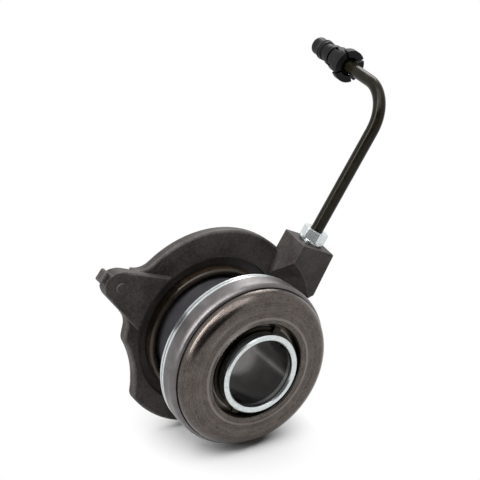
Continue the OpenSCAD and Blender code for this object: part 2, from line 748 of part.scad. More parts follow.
// Hexagon nut that screws the pipe's flare into the port, standing a little off the block
module tube_nut() {
    lift = 0.6;
    hex_start = lift + nut_collar_t - 0.3;
    hex_h = nut_height - hex_start;
    hex_turn = 13;
    crown_r = nut_flats / 2 + 0.35;
    color("#d5d9da") along_axis() at_inlet() difference() {
        union() {
            translate([0, 0, lift]) cylinder(r = nut_collar_r, h = nut_collar_t);
            translate([0, 0, -port_depth + 1]) cylinder(r = nut_thread_r - fit, h = port_depth);
            translate([0, 0, hex_start]) rotate([0, 0, hex_turn]) intersection() {
                cylinder(d = nut_flats / cos(30), h = hex_h, $fn = 6);
                cylinder(r1 = crown_r + hex_h, r2 = crown_r, h = hex_h);
            }
        }
        translate([0, 0, -port_depth]) cylinder(r = nut_bore_r, h = port_depth + nut_height + 1);
    }
}

// Steel pipe with a flare under the nut, one bend and a straight end in the plug
module hydraulic_pipe() {
    flare_w = 1;
    flare_t = 1 - 2 * eps;
    module pipe_section() {
        difference() {
            circle(r = pipe_r);
            circle(r = pipe_r - pipe_wall);
        }
    }
    color("#3c382b") along_axis() at_inlet() {
        translate([0, 0, -port_depth + eps]) linear_extrude(pipe_run + port_depth - eps) pipe_section();
        translate([0, bend_r, pipe_run]) rotate([90, 0, -90])
            rotate_extrude(angle = 90) translate([bend_r, 0]) pipe_section();
        translate([0, bend_r, pipe_run + bend_r]) rotate([-90, 0, 0])
            linear_extrude(pipe_tail) pipe_section();
        translate([0, 0, -port_depth + eps]) difference() {
            cylinder(r = pipe_r + flare_w, h = flare_t);
            translate([0, 0, -1]) cylinder(r = pipe_r - pipe_wall, h = flare_t + 2);
        }
    }
}

// Moulded plug on the pipe's end
module plug() {
    tip = 0.8;
    color("#26262a") along_axis() at_connector() turned()
        polygon([[pipe_r, plug_start], [plug_tail_r, plug_start], [plug_tail_r, plug_shoulder],
                 [plug_shoulder_r, plug_shoulder], [plug_shoulder_r, plug_neck], [plug_neck_r, plug_neck],
                 [plug_neck_r, seal_groove - plug_rib_t], [plug_rib_r, seal_groove - plug_rib_t],
                 [plug_rib_r, seal_groove], [seal_groove_r, seal_groove],
                 [seal_groove_r, seal_groove + plug_seal_d], [plug_nose_r, seal_groove + plug_seal_d],
                 [plug_nose_r, plug_end - tip], [plug_nose_r - tip, plug_end], [plug_bore_r, plug_end],
                 [plug_bore_r, pipe_tail], [pipe_r, pipe_tail]]);
}

module plug_seal() {
    color("#141416") along_axis() at_connector() turned()
        translate([seal_groove_r + plug_seal_d / 2, seal_groove + plug_seal_d / 2])
            circle(r = plug_seal_d / 2 - fit);
}

// Slotted collar that locks the plug in its socket
module locking_collar() {
    mouth_r = collar_bore_r + 0.4;
    over = 0.5;
    color("#232326") along_axis() at_connector() difference() {
        turned() {
            section(mouth_r, disc_r, disc_start, disc_start + disc_t);
            section(collar_bore_r, collar_r, disc_start + disc_t - eps, collar_end);
        }
        for (i = [0 : slot_count - 1]) rotate([0, 0, (i + 0.5) * 360 / slot_count])
            translate([-slot_w / 2, pipe_r, 0]) {
                translate([0, 0, disc_start - over]) cube([slot_w, reach, disc_t + 2 * over]);
                translate([0, 0, collar_end - end_slot]) cube([slot_w, reach, end_slot + over]);
            }
    }
}

housing();
guide_sleeve();
nose_ring();
sleeve_seal();
stop_clip();
piston();
piston_seal();
spring_seat();
preload_spring();
race_clip();
inner_race();
bearing_balls();
ball_cage();
thrust_ring();
bearing_shell();
backing_ring();
dust_boot();
tube_nut();
hydraulic_pipe();
plug();
plug_seal();
locking_collar();
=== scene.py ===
# %% [markdown]
# A concentric slave cylinder sits round a gearbox's input shaft. Fluid enters through the bent
# pipe, pushes a ring-shaped piston out of the die-cast housing, and the release bearing on the
# piston's nose presses the clutch fingers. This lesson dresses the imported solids: it rounds their
# edges as on a real casting or moulding, and gives every surface a finish made from nodes.

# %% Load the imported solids
import json
import math

import bmesh
import bpy
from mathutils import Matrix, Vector


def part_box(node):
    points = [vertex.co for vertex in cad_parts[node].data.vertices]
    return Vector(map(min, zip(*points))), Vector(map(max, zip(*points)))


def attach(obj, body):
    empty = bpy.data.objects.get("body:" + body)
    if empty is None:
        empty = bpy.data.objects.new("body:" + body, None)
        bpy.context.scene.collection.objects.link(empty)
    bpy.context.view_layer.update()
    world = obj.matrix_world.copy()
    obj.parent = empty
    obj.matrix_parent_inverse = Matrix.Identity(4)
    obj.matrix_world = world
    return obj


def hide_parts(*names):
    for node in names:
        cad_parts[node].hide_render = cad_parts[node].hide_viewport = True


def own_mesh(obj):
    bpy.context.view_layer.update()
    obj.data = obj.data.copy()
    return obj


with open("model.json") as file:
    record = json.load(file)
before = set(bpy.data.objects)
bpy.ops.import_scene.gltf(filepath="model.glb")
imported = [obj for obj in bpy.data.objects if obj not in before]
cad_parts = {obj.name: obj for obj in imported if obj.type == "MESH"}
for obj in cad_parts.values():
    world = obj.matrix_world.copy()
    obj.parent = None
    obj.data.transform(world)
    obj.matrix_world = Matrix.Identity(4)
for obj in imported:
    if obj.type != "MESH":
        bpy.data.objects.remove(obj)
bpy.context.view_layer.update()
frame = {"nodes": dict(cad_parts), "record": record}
nodes = frame["nodes"]
MM = 0.001

# %% [markdown]
# The camera comes first, because every later choice is judged through it. Its place was worked
# out from the round edges of the bearing, which show as ellipses: it stands high and to the left
# of the nose, with a long lens, so that the pipe and the flange keep their proportions.

# %% Camera
CAMERA_PLACE = (-0.2438, -0.4370, 0.2766)
CAMERA_TILT = math.radians(65.2)
CAMERA_TURN = math.radians(-31.07)
SENSOR_WIDTH = 36
FOCAL_LENGTH = 90
camera_data = bpy.data.cameras.new("camera")
camera_data.sensor_width = SENSOR_WIDTH
camera_data.lens = FOCAL_LENGTH
camera = bpy.data.objects.new("camera", camera_data)
camera.location = CAMERA_PLACE
camera.rotation_euler = (CAMERA_TILT, 0, CAMERA_TURN)
bpy.context.scene.collection.objects.link(camera)
bpy.context.scene.camera = camera
print("camera at", [round(value, 3) for value in camera.location])

# %% [markdown]
# A finish is a small network of nodes round one general shader. What is the same all over the
# surface sits on the shader's own sockets, where an export keeps it. What varies is worked out
# from the object's own coordinates in metres, so that a grain of half a millimetre has that size
# on every piece, and nothing has to be unwrapped.

# %% Start a finish
def new_finish(name, color, roughness, metallic=0.0, **sockets):
    """A material, its node tree and its shader, with any other sockets given by name."""
    finish = bpy.data.materials.new(name)
    finish.use_nodes = True
    shader = finish.node_tree.nodes["Principled BSDF"]
    shader.inputs["Base Color"].default_value = (*color, 1)
    shader.inputs["Metallic"].default_value = metallic
    shader.inputs["Roughness"].default_value = roughness
    for socket, value in sockets.items():
        shader.inputs[socket.replace("_", " ")].default_value = value
    return finish, finish.node_tree, shader


def place(tree, stretch=(1, 1, 1)):
    """The object's own coordinates, stretched along each axis."""
    coordinates = tree.nodes.new("ShaderNodeTexCoord")
    mapping = tree.nodes.new("ShaderNodeMapping")
    mapping.inputs["Scale"].default_value = stretch
    tree.links.new(coordinates.outputs["Object"], mapping.inputs["Vector"])
    return mapping.outputs["Vector"]


print("helpers made: new_finish, place")

# %% [markdown]
# Real surfaces drift and speckle. Noise gives a field of soft blobs of a chosen size, with finer
# blobs inside them, and two fields mix into one that drifts and speckles at once.

# %% Fields
def noise(tree, vector, size, detail, roughness=0.55):
    """A field of blobs about as large as size."""
    field = tree.nodes.new("ShaderNodeTexNoise")
    field.inputs["Scale"].default_value = 1 / size
    field.inputs["Detail"].default_value = detail
    field.inputs["Roughness"].default_value = roughness
    tree.links.new(vector, field.inputs["Vector"])
    return field.outputs["Fac"]


def mixed(tree, first, second, share):
    """A field that is the first one with a share of the second."""
    mix = tree.nodes.new("ShaderNodeMix")
    mix.inputs["Factor"].default_value = share
    tree.links.new(first, mix.inputs["A"])
    tree.links.new(second, mix.inputs["B"])
    return mix.outputs["Result"]


print("helpers made: noise, mixed")

# %% [markdown]
# A field shows in three ways: as a blend of two colours, as a spread of roughness, and as height
# that tilts the light on the surface. Most of a noise field lies near its middle, so colours and
# roughness use that stretch of it and leave out the rare ends.

# %% From fields to looks
FIELD_LOW = 0.35
FIELD_HIGH = 0.65


def ramp(tree, value, low, high, start=FIELD_LOW, end=FIELD_HIGH):
    """A colour that goes from low to high as the value goes from start to end."""
    fade = tree.nodes.new("ShaderNodeValToRGB")
    fade.color_ramp.elements[0].position = start
    fade.color_ramp.elements[1].position = end
    fade.color_ramp.elements[0].color = (*low, 1)
    fade.color_ramp.elements[1].color = (*high, 1)
    tree.links.new(value, fade.inputs["Fac"])
    return fade.outputs["Color"]


def spread(tree, value, low, high, start=FIELD_LOW, end=FIELD_HIGH):
    """A number that goes from low to high as the value goes from start to end."""
    span = tree.nodes.new("ShaderNodeMapRange")
    span.inputs["From Min"].default_value = start
    span.inputs["From Max"].default_value = end
    span.inputs["To Min"].default_value = low
    span.inputs["To Max"].default_value = high
    tree.links.new(value, span.inputs["Value"])
    return span.outputs["Result"]


def bump(tree, shader, height, depth, strength):
    """Tilt the surface as if the field were relief of that depth."""
    relief = tree.nodes.new("ShaderNodeBump")
    relief.inputs["Strength"].default_value = strength
    relief.inputs["Distance"].default_value = depth
    tree.links.new(height, relief.inputs["Height"])
    tree.links.new(relief.outputs["Normal"], shader.inputs["Normal"])


print("fields are used from", FIELD_LOW, "to", FIELD_HIGH)

# %% [markdown]
# Most pieces here were turned on a lathe, which leaves fine rings. Every point of a ring has the
# same radius and the same height along the axis, so noise that knows only these two runs round
# the axis by itself, on a face as well as on a wall.

# %% Lathe marks
def turned_place(tree):
    """Radius from the cylinder's axis, which is Y, and the place along it."""
    coordinates = tree.nodes.new("ShaderNodeTexCoord")
    split = tree.nodes.new("ShaderNodeSeparateXYZ")
    flat = tree.nodes.new("ShaderNodeCombineXYZ")
    length = tree.nodes.new("ShaderNodeVectorMath")
    length.operation = "LENGTH"
    tree.links.new(coordinates.outputs["Object"], split.inputs["Vector"])
    tree.links.new(split.outputs["X"], flat.inputs["X"])
    tree.links.new(split.outputs["Z"], flat.inputs["Z"])
    tree.links.new(flat.outputs["Vector"], length.inputs[0])
    return length.outputs["Value"], split.outputs["Y"]


def lathe_marks(tree, size):
    """Rings round the axis: noise over radius and height only."""
    radius, height = turned_place(tree)
    rings = tree.nodes.new("ShaderNodeCombineXYZ")
    tree.links.new(radius, rings.inputs["X"])
    tree.links.new(height, rings.inputs["Y"])
    return noise(tree, rings.outputs["Vector"], size, detail=3)


print("helpers made: turned_place, lathe_marks")

# %% [markdown]
# A paler line on a ridge and a dark line in a groove run round the axis. Both are painted: the
# first as wear and the ridge's highlight, the second as dirt and the shade in the groove. They
# could be faces of their own, but a line has soft edges. So the colour that a finish already has is
# blended towards another one close to a radius or a height, at full strength in the stripe's inner
# half.

# %% Stripes
STRIPE_CORE = 0.5


def stripe(tree, value, middle, half, share, color):
    """Blend a finish by a share towards a colour where a value is close to the stripe's middle."""
    shader = tree.nodes["Principled BSDF"]
    plain = shader.inputs["Base Color"].links[0].from_socket
    away = tree.nodes.new("ShaderNodeMath")
    away.operation = "SUBTRACT"
    away.inputs[1].default_value = middle
    size = tree.nodes.new("ShaderNodeMath")
    size.operation = "ABSOLUTE"
    tree.links.new(value, away.inputs[0])
    tree.links.new(away.outputs["Value"], size.inputs[0])
    blend = tree.nodes.new("ShaderNodeMix")
    blend.data_type = "RGBA"
    blend.inputs["A"].default_value = (*color, 1)
    plain_share = spread(tree, size.outputs["Value"], 1 - share, 1, start=STRIPE_CORE * half, end=half)
    tree.links.new(plain_share, blend.inputs["Factor"])
    tree.links.new(plain, blend.inputs["B"])
    tree.links.new(blend.outputs["Result"], shader.inputs["Base Color"])


print("stripes are solid over", STRIPE_CORE, "of their width")

# %% [markdown]
# The housing is die cast and then blasted, so its skin is dark, dull and slightly grainy. A picture
# of such a skin would have to be unwrapped over every corner of the casting. Noise needs none of
# that: a broad one drifts the colour and a fine one makes the grain. The corners of a blasted
# casting rub lighter in patches, so the rounded edges get a paler twin. The recess round the boot
# gets a slightly darker one, which paints both its grease and the shade that falls in it.

# %% Cast housing finishes
CAST_DRIFT = 9 * MM
CAST_GRAIN = 0.9 * MM
CAST_DEPTH = 0.12 * MM
CAST_GLOSS = 0.22
CAST_UNEVEN = 0.1


def cast_finish(name, dark, pale, roughness):
    """Blasted metal: a drifting colour, a fine grain and a dull gloss."""
    finish, tree, shader = new_finish(name, dark, roughness, Specular_IOR_Level=CAST_GLOSS)
    vector = place(tree)
    drift = noise(tree, vector, CAST_DRIFT, detail=5)
    grain = noise(tree, vector, CAST_GRAIN, detail=3, roughness=0.7)
    color = ramp(tree, mixed(tree, drift, grain, share=0.6), dark, pale, start=0.38, end=0.64)
    uneven = spread(tree, grain, roughness - CAST_UNEVEN, roughness + CAST_UNEVEN)
    tree.links.new(color, shader.inputs["Base Color"])
    tree.links.new(uneven, shader.inputs["Roughness"])
    bump(tree, shader, grain, CAST_DEPTH, strength=0.6)
    return finish


cast_skin = cast_finish(
    "cast_skin", dark=(0.026, 0.0218, 0.0203), pale=(0.082, 0.0712, 0.067), roughness=0.52)
cast_edge = cast_finish(
    "cast_edge", dark=(0.038, 0.0335, 0.0318), pale=(0.13, 0.119, 0.1135), roughness=0.48)
# painted shade and grease: the darker cast finish for the recess round the boot
cast_grease_and_shade = cast_finish(
    "cast_grease_and_shade", dark=(0.023, 0.0193, 0.0179), pale=(0.070, 0.0604, 0.0565), roughness=0.46)
print("cast finishes:", cast_skin.name, cast_edge.name, cast_grease_and_shade.name)

# %% [markdown]
# Bare metal shows little but reflections, so its tint and its roughness make the look. One helper
# serves every metal here: clouds and specks tint it, and lathe marks change the roughness and
# press fine rings into it. A share of broader rings can join the tint.

# %% Steel finish
CLOUD_SIZE = 6 * MM
SPECK_SIZE = 0.5 * MM
MARK_SIZE = 0.25 * MM
RING_SIZE = 1.6 * MM
STEEL_SMOOTHER = 0.05
STEEL_ROUGHER = 0.07


def steel_finish(name, dark, pale, roughness, mark_depth, cloud_size=CLOUD_SIZE, speck_share=0.25,
                 ring_share=0):
    """Turned metal: tinted by clouds and specks, with lathe marks in its gloss and its surface."""
    finish, tree, shader = new_finish(name, dark, roughness, metallic=1.0)
    vector = place(tree)
    clouds = noise(tree, vector, cloud_size, detail=6, roughness=0.6)
    specks = noise(tree, vector, SPECK_SIZE, detail=2)
    marks = lathe_marks(tree, MARK_SIZE)
    patches = mixed(tree, clouds, specks, speck_share)
    if ring_share:
        patches = mixed(tree, patches, lathe_marks(tree, RING_SIZE), ring_share)
    color = ramp(tree, patches, dark, pale, start=0.40, end=0.61)
    uneven = spread(tree, marks, roughness - STEEL_SMOOTHER, roughness + STEEL_ROUGHER)
    tree.links.new(color, shader.inputs["Base Color"])
    tree.links.new(uneven, shader.inputs["Roughness"])
    bump(tree, shader, marks, mark_depth, strength=0.4)
    return finish


print("lathe marks on steel are about", MARK_SIZE / MM, "mm wide")

# %% [markdown]
# The thrust ring is pressed from steel and phosphated: a warm brown-grey, duller than bare metal,
# with faint rings, cloudy patches, a fine speckle and a paler line painted on its ridge, as wear and
# as the ridge's highlight. The shell round it is plain satin steel, paler and without the speckle.

# %% Bearing finishes
WEAR_AND_HIGHLIGHT_RADIUS = 25.9 * MM
WEAR_AND_HIGHLIGHT_HALF = 0.7 * MM
WEAR_AND_HIGHLIGHT_STEEL = (0.24, 0.215, 0.20)
thrust_steel = steel_finish(
    "thrust_steel", dark=(0.060, 0.051, 0.045), pale=(0.15, 0.129, 0.117),
    roughness=0.25, mark_depth=0.012 * MM, speck_share=0.7, ring_share=0.17)
shell_steel = steel_finish(
    "shell_steel", dark=(0.125, 0.116, 0.117), pale=(0.18, 0.167, 0.169),
    roughness=0.4, mark_depth=0.01 * MM)
tree = thrust_steel.node_tree
# painted highlight and wear: a paler line round the thrust ring's ridge
stripe(tree, turned_place(tree)[0], WEAR_AND_HIGHLIGHT_RADIUS, WEAR_AND_HIGHLIGHT_HALF, share=0.6, color=WEAR_AND_HIGHLIGHT_STEEL)
print("bearing finishes:", thrust_steel.name, shell_steel.name)

# %% [markdown]
# Zinc plating is pale and a little blue, with a crystalline bloom. The backing ring has a turned
# groove, and a dark line is painted in it, as dirt and as the shade that falls in the groove. The
# nose ring has a dark line in its bore, close behind the front face, which is painted shade drawn
# by colour alone.

# %% Plated finishes
BLOOM_SIZE = 1.5 * MM
BAND_LINE_HALF = 0.3 * MM
BAND_SHADE_AND_DIRT = (0.03, 0.03, 0.03)
NOSE_LINE_BACK = 1.7 * MM
NOSE_LINE_HALF = 0.5 * MM
NOSE_SHADE = (0.05, 0.05, 0.05)


def plated_finish(name):
    """Bright zinc, in a copy of its own for each ring that gets a line."""
    return steel_finish(
        name, dark=(0.56, 0.595, 0.60), pale=(0.70, 0.735, 0.74),
        roughness=0.26, mark_depth=0.006 * MM, cloud_size=BLOOM_SIZE)


zinc_plate = plated_finish("zinc_plate")
groove_plate = plated_finish("groove_plate")
nose_plate = plated_finish("nose_plate")
band_low, band_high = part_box("backing_ring")
band_middle = (band_low.y + band_high.y) / 2
nose_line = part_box("nose_ring")[0].y + NOSE_LINE_BACK
tree = groove_plate.node_tree
# painted shade and dirt: a dark line along the backing ring's groove
stripe(tree, turned_place(tree)[1], band_middle, BAND_LINE_HALF, share=1, color=BAND_SHADE_AND_DIRT)
tree = nose_plate.node_tree
# painted shade: a dark line in the nose ring's bore, close behind its front face
stripe(tree, turned_place(tree)[1], nose_line, NOSE_LINE_HALF, share=1, color=NOSE_SHADE)
print("dark lines at", round(band_middle / MM, 2), "and", round(nose_line / MM, 2), "mm")

# %% [markdown]
# The guide sleeve's bore is dark and polished. The pieces round the piston are oily, so they are
# dark and warm. Balls and cage are hidden, but they are finished too, for whoever takes the
# bearing apart.

# %% Other metal finishes
dark_steel = steel_finish(
    "dark_steel", dark=(0.15, 0.146, 0.144), pale=(0.19, 0.186, 0.184),
    roughness=0.16, mark_depth=0.0005 * MM)
oiled_steel = steel_finish(
    "oiled_steel", dark=(0.05, 0.042, 0.03), pale=(0.085, 0.072, 0.053),
    roughness=0.34, mark_depth=0.008 * MM)
piston_alloy = steel_finish(
    "piston_alloy", dark=(0.022, 0.019, 0.013), pale=(0.036, 0.031, 0.022),
    roughness=0.38, mark_depth=0.008 * MM)
ball_steel = steel_finish(
    "ball_steel", dark=(0.55, 0.55, 0.57), pale=(0.61, 0.61, 0.63),
    roughness=0.12, mark_depth=0.001 * MM)
cage_brass = steel_finish(
    "cage_brass", dark=(0.40, 0.29, 0.11), pale=(0.48, 0.36, 0.16),
    roughness=0.3, mark_depth=0.005 * MM)
print("finishes so far:", len(bpy.data.materials))

# %% [markdown]
# Rubber, moulded plastic and the lacquered pipe are not metals: their colour is dark and their
# gloss decides the look. They differ only in colour, gloss and grain, so one helper makes them all.
# The boot's fold lies in grease, which makes it blacker and shinier than the dry cone. The tail of
# the plug lies in a narrow gap that hardly any light leaves, and its near-black finish paints that
# shade.

# %% Rubber, plastic and lacquer finishes
MOULD_DRIFT = 5 * MM
MOULD_SMOOTHER = 0.05
MOULD_ROUGHER = 0.08


def moulded_finish(name, dark, pale, roughness, grain_size, grain_depth, **sockets):
    """A skin from a mould or a bath: a drifting colour and gloss, and a fine grain."""
    finish, tree, shader = new_finish(name, dark, roughness, **sockets)
    vector = place(tree)
    drift = noise(tree, vector, MOULD_DRIFT, detail=4)
    grain = noise(tree, vector, grain_size, detail=2)
    uneven = spread(tree, drift, roughness - MOULD_SMOOTHER, roughness + MOULD_ROUGHER)
    tree.links.new(ramp(tree, drift, dark, pale), shader.inputs["Base Color"])
    tree.links.new(uneven, shader.inputs["Roughness"])
    bump(tree, shader, grain, grain_depth, strength=0.4)
    return finish


boot_rubber = moulded_finish(
    "boot_rubber", dark=(0.038, 0.037, 0.041), pale=(0.055, 0.053, 0.058), roughness=0.42,
    grain_size=0.4 * MM, grain_depth=0.01 * MM, Specular_IOR_Level=0.3)
boot_grease = moulded_finish(
    "boot_grease", dark=(0.016, 0.011, 0.007), pale=(0.03, 0.02, 0.012), roughness=0.3,
    grain_size=0.8 * MM, grain_depth=0.003 * MM, Specular_IOR_Level=0.4)
seal_rubber = moulded_finish(
    "seal_rubber", dark=(0.008, 0.008, 0.009), pale=(0.014, 0.014, 0.015), roughness=0.4,
    grain_size=0.3 * MM, grain_depth=0.008 * MM, Specular_IOR_Level=0.2)
black_plastic = moulded_finish(
    "black_plastic", dark=(0.006, 0.006, 0.007), pale=(0.012, 0.012, 0.013), roughness=0.44,
    grain_size=0.5 * MM, grain_depth=0.012 * MM, Specular_IOR_Level=0.12)
# painted shade: a near-black finish for the plug's tail deep in the gap
painted_gap_shade = moulded_finish(
    "painted_gap_shade", dark=(0.002, 0.002, 0.002), pale=(0.004, 0.004, 0.004), roughness=0.7,
    grain_size=0.5 * MM, grain_depth=0.01 * MM, Specular_IOR_Level=0.02)
pale_plastic = moulded_finish(
    "pale_plastic", dark=(0.55, 0.5, 0.38), pale=(0.62, 0.57, 0.45), roughness=0.5,
    grain_size=0.4 * MM, grain_depth=0.01 * MM)
pipe_lacquer = moulded_finish(
    "pipe_lacquer", dark=(0.008, 0.0066, 0.0034), pale=(0.015, 0.0124, 0.0064), roughness=0.2,
    grain_size=1.2 * MM, grain_depth=0.006 * MM, Specular_IOR_Level=0.14)
print("finishes:", len(bpy.data.materials))

# %% [markdown]
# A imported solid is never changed. Where a piece needs another surface, its mesh is copied, worked
# on, and put in exactly the same place as an object of its own.

# %% Copy a solid
SHARP = math.radians(28)
WELD = 0.002 * MM


def copied(node, finishes):
    """A copy of a solid's mesh with its finishes, and its faces and edges to work on."""
    mesh = nodes[node].data.copy()
    mesh.materials.clear()
    for finish in finishes:
        mesh.materials.append(finish)
    work = bmesh.new()
    work.from_mesh(mesh)
    bmesh.ops.remove_doubles(work, verts=work.verts, dist=WELD)
    return mesh, work


def placed(name, mesh, work):
    """The worked copy as an object, smooth but for its sharp edges."""
    for face in work.faces:
        face.smooth = True
    work.to_mesh(mesh)
    work.free()
    mesh.set_sharp_from_angle(angle=SHARP)
    piece = bpy.data.objects.new(name, mesh)
    bpy.context.scene.collection.objects.link(piece)
    return piece


print("edges over", round(math.degrees(SHARP)), "degrees count as sharp")

# %% [markdown]
# The copy comes as triangles, and the ones that only split a flat face would spoil a rounded
# edge, so they are dissolved. Two cuts stay, through the lugs and through the inlet, so that no
# flat face is left with a hole in it.

# %% Clean the flat faces
FLAT = math.radians(0.6)
NEAR = 0.01 * MM
CUT_SNAP = 0.001 * MM
LUG_TURN = math.radians(-51.5)
INLET_TURN = math.radians(27.5)
INLET_OFFSET = 27.5 * MM
ACROSS_LUGS = Vector((math.cos(LUG_TURN), 0, -math.sin(LUG_TURN)))
ACROSS_INLET = Vector((math.cos(INLET_TURN), 0, -math.sin(INLET_TURN)))
CUTS = [(ACROSS_LUGS, 0), (ACROSS_INLET, INLET_OFFSET)]


def on_cut(edge):
    return any(all(abs(vert.co.dot(normal) - offset) < NEAR for vert in edge.verts)
               for normal, offset in CUTS)


def flattened(work):
    """Cut the mesh in the two planes, then join what lies flat between the cuts."""
    for normal, offset in CUTS:
        everything = work.verts[:] + work.edges[:] + work.faces[:]
        bmesh.ops.bisect_plane(work, geom=everything, plane_co=normal * offset, plane_no=normal,
                               dist=CUT_SNAP)
    inner = [edge for edge in work.edges if not on_cut(edge)]
    bmesh.ops.dissolve_limit(work, angle_limit=FLAT, verts=work.verts, edges=inner)


print("cuts kept:", len(CUTS))

# %% [markdown]
# A solid has sharp edges, and a real casting or moulding never has. A bevel on the whole mesh
# would give every edge one width, so the edges are rounded in passes, and each pass picks its
# edges by where they lie. Weighted normals then keep the flat faces flat.

# %% Round the edges of a copy
ROUND_STEPS = 4


def softened(node, finishes, passes, edge_slot, reshape=None):
    """A copy that stands in for its solid, reshaped if asked, with its edges rounded."""
    mesh, work = copied(node, finishes)
    flattened(work)
    if reshape:
        reshape(work)
    for face in work.faces:
        face.material_index = 0
    for width, wanted in passes:
        sharp = [edge for edge in work.edges
                 if len(edge.link_faces) == 2 and edge.calc_face_angle() > SHARP and wanted(edge)]
        bmesh.ops.bevel(work, geom=sharp, offset=width, offset_type="OFFSET", segments=ROUND_STEPS,
                        profile=0.5, affect="EDGES", clamp_overlap=False, material=edge_slot)
    piece = placed(node + "_soft", mesh, work)
    piece.modifiers.new("even shading", "WEIGHTED_NORMAL")
    graph = bpy.context.evaluated_depsgraph_get()
    final = bpy.data.meshes.new_from_object(piece.evaluated_get(graph))
    piece.modifiers.clear()
    piece.data = final
    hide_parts(node)
    print(piece.name, len(final.polygons), "faces")
    return piece


print("each round has", ROUND_STEPS, "steps")

# %% [markdown]
# An edge of the housing could be picked by its number, but numbers change with every new solid.
# Here it is told by where it lies: by its height and its radius. Heights are measured forward from
# the mounting face, which is against the Y axis.

# %% Heights and radii on the housing
FLANGE_FACE = 5 * MM
LUG_FACE = 9.5 * MM
MARK_FACE = 10.5 * MM
RECESS_EDGE = 37.7 * MM


def at_height(edge, height):
    return all(abs(-vert.co.y - height) < NEAR for vert in edge.verts)


def outside(edge, radius):
    return all(math.hypot(vert.co.x, vert.co.z) > radius for vert in edge.verts)


print("flange face at", round(FLANGE_FACE / MM, 1), "mm, lug face at", round(LUG_FACE / MM, 1), "mm")

# %% [markdown]
# The edges aren't all alike: the flange's rim has a wide round, the broken gate and the lugs have
# narrower ones, and the rest is almost sharp. The widest rounds come first, because each later pass
# takes only what is still sharp.

# %% Edges of the housing
RECESS_BAND = 0.1 * MM
OUTSIDE_START = 40 * MM
RIM_START = 41 * MM
LUG_START = 42.5 * MM
GATE_START = 66.6 * MM


def on_rim(edge):
    return at_height(edge, FLANGE_FACE) and outside(edge, RIM_START) and edge.is_convex


def on_gate(edge):
    return outside(edge, GATE_START) and edge.is_convex and not at_height(edge, LUG_FACE)


def on_lug_or_rear(edge):
    level = at_height(edge, LUG_FACE) or at_height(edge, 0)
    return level and outside(edge, LUG_START) and edge.is_convex


def on_mark(edge):
    return at_height(edge, MARK_FACE)


def on_outside(edge):
    return outside(edge, OUTSIDE_START) and edge.is_convex and not on_mark(edge)


def on_recess(edge):
    beyond = outside(edge, RECESS_EDGE - RECESS_BAND) and not outside(edge, RECESS_EDGE + RECESS_BAND)
    return at_height(edge, FLANGE_FACE) and beyond


HOUSING_ROUNDS = [
    (1.3 * MM, on_rim),
    (1.0 * MM, on_gate),
    (0.55 * MM, on_lug_or_rear),
    (0.35 * MM, on_outside),
    (0.3 * MM, on_recess),
    (0.3 * MM, on_mark),
]
print("rounds on the housing:", [round(width / MM, 2) for width, wanted in HOUSING_ROUNDS])

# %% [markdown]
# Three small forms of the casting differ a little from its solid. The upper lug's tip reaches
# further, the gate, where the metal ran in, has a broader broken end, and the round marks of the
# ejector pins stand higher on the lugs. It is enough to move the points that belong to each, with
# no new face. The bolt circle's radius gives the middle of the lug.

# %% Finer forms of the casting
mounts = {mount["name"]: mount for mount in frame["record"]["mounts"]}
LUG_MIDDLE = mounts["mounting_bolts"]["dims"]["pcd_mm"] / 2 * MM
MARK_TOP = 10 * MM
GATE_END = 70 * MM
GATE_MIDDLE = 6.5 * MM
TIP_STRETCH = 0.17
GATE_SPREAD = 0.2
GATE_BACK = 0.3 * MM


def shape_casting(work):
    """Draw out the upper lug's tip, spread the gate's broken end, and raise the ejector marks."""
    outward = Vector((math.sin(LUG_TURN), 0, math.cos(LUG_TURN)))
    for vert in work.verts:
        reach = vert.co.dot(outward)
        if abs(-vert.co.y - MARK_TOP) < NEAR:
            vert.co.y = -MARK_FACE
        elif reach > GATE_END:
            vert.co += ACROSS_LUGS * vert.co.dot(ACROSS_LUGS) * GATE_SPREAD
            vert.co.y += (vert.co.y + GATE_MIDDLE) * GATE_SPREAD
            vert.co -= outward * GATE_BACK
        elif reach > LUG_MIDDLE:
            vert.co += outward * (reach - LUG_MIDDLE) * TIP_STRETCH


print("lug middle at", round(LUG_MIDDLE / MM, 1), "mm")

# %% [markdown]
# Now the housing is made. Its rounded edges take the paler finish by themselves, and the faces of
# the recess, which lie below the flange's face and inside the recess's edge, take the darker one
# with its painted shade and grease.

# %% Housing
EDGE_SLOT = 1
GREASE_AND_SHADE_SLOT = 2
housing = softened("housing", [cast_skin, cast_edge, cast_grease_and_shade], HOUSING_ROUNDS, EDGE_SLOT, shape_casting)
grease_and_shade_faces = 0
# the recess faces get the finish with painted shade and grease
for face in housing.data.polygons:
    height = -face.center.y
    if 0 < height < FLANGE_FACE - NEAR and math.hypot(face.center.x, face.center.z) < RECESS_EDGE:
        face.material_index = GREASE_AND_SHADE_SLOT
        grease_and_shade_faces += 1
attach(housing, "housing_body")
print("greasy faces:", grease_and_shade_faces)

# %% [markdown]
# The connector on the pipe's end is a plug in a slotted collar. Between the collar and the plug's
# shoulder lies a narrow dark gap. Here the collar's front end is drawn back to open it, and the
# plug's thin tail, which shows only there, takes a near-black finish that paints the shade in the
# gap. Both are told by their place along the plug's own line, which the part's mount gives.

# %% Gap in the connector
PLUG_PLACE = Vector(mounts["hose_plug"]["pos_m"])
PLUG_LINE = Vector(mounts["hose_plug"]["axis"]).normalized()
PLUG_TAIL = 5.2 * MM
PLUG_SHOULDER = -13.45 * MM
COLLAR_END = -14.9 * MM
COLLAR_BACK = 0.9 * MM


def in_gap(middle):
    """True on the plug's thin tail behind its shoulder."""
    away = middle - PLUG_PLACE
    along = away.dot(PLUG_LINE)
    return along < PLUG_SHOULDER and (away - PLUG_LINE * along).length < PLUG_TAIL


